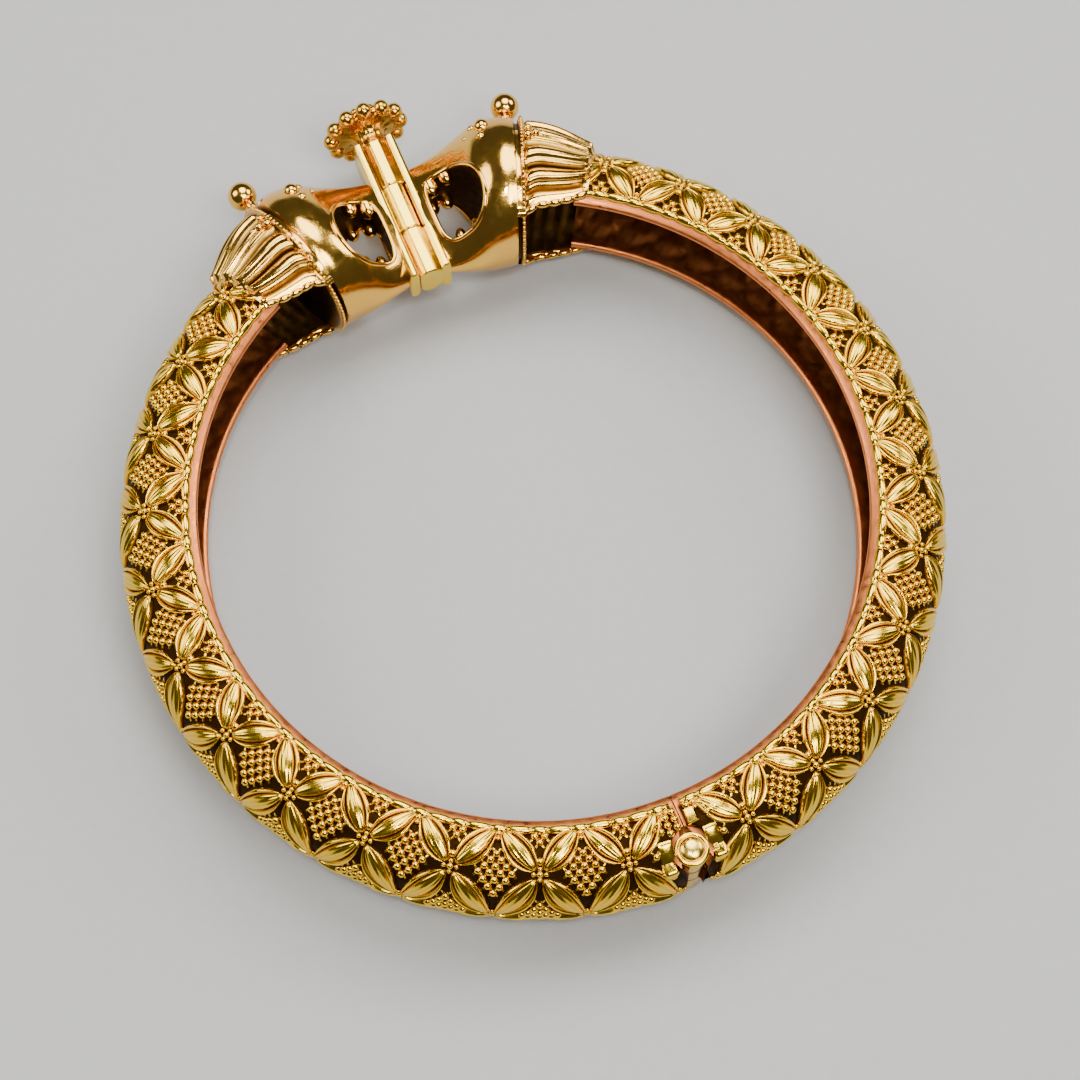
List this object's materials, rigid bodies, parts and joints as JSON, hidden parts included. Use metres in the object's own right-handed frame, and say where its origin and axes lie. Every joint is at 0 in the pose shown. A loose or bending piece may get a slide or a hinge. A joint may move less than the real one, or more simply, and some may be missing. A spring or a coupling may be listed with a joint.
{
  "type": "kada bangle",
  "caption": "Hinged hollow bangle with a raised petal lattice, lion-head ends and a flower-headed screw clasp.",
  "frame": {"origin": "centre of the wrist opening, half way between the bangle's two sides", "axes": "+Z along the wrist, square to the ring. +Y from the hinge to the clasp. +X to the right half."},
  "size_m": [0.0744, 0.0821, 0.0136],
  "materials": {
    "stamped_gold": "gold plated stamped sheet, glossy",
    "cast_gold": "gold plated casting, polished",
    "pin_gold": "gold plated wire, polished"
  },
  "bodies": {
    "right_half": {"band_right": "stamped_gold", "head_right": "cast_gold", "hinge_pin": "pin_gold"},
    "left_half": {"band_left": "stamped_gold", "head_left": "cast_gold"},
    "clasp_screw": {"clasp_pin": "pin_gold", "clasp_flower": "cast_gold"}
  },
  "joints": [
    {"name": "band_hinge", "type": "hinge", "parent": "right_half", "child": "left_half", "pos_m": [0, -0.0349, 0], "axis": [0, 0, 1], "range_deg": [0, 50]},
    {"name": "screw_slide", "type": "slide", "parent": "right_half", "child": "clasp_screw", "axis": [0, 1, 0], "range_m": [0, 0.0165]}
  ]
}
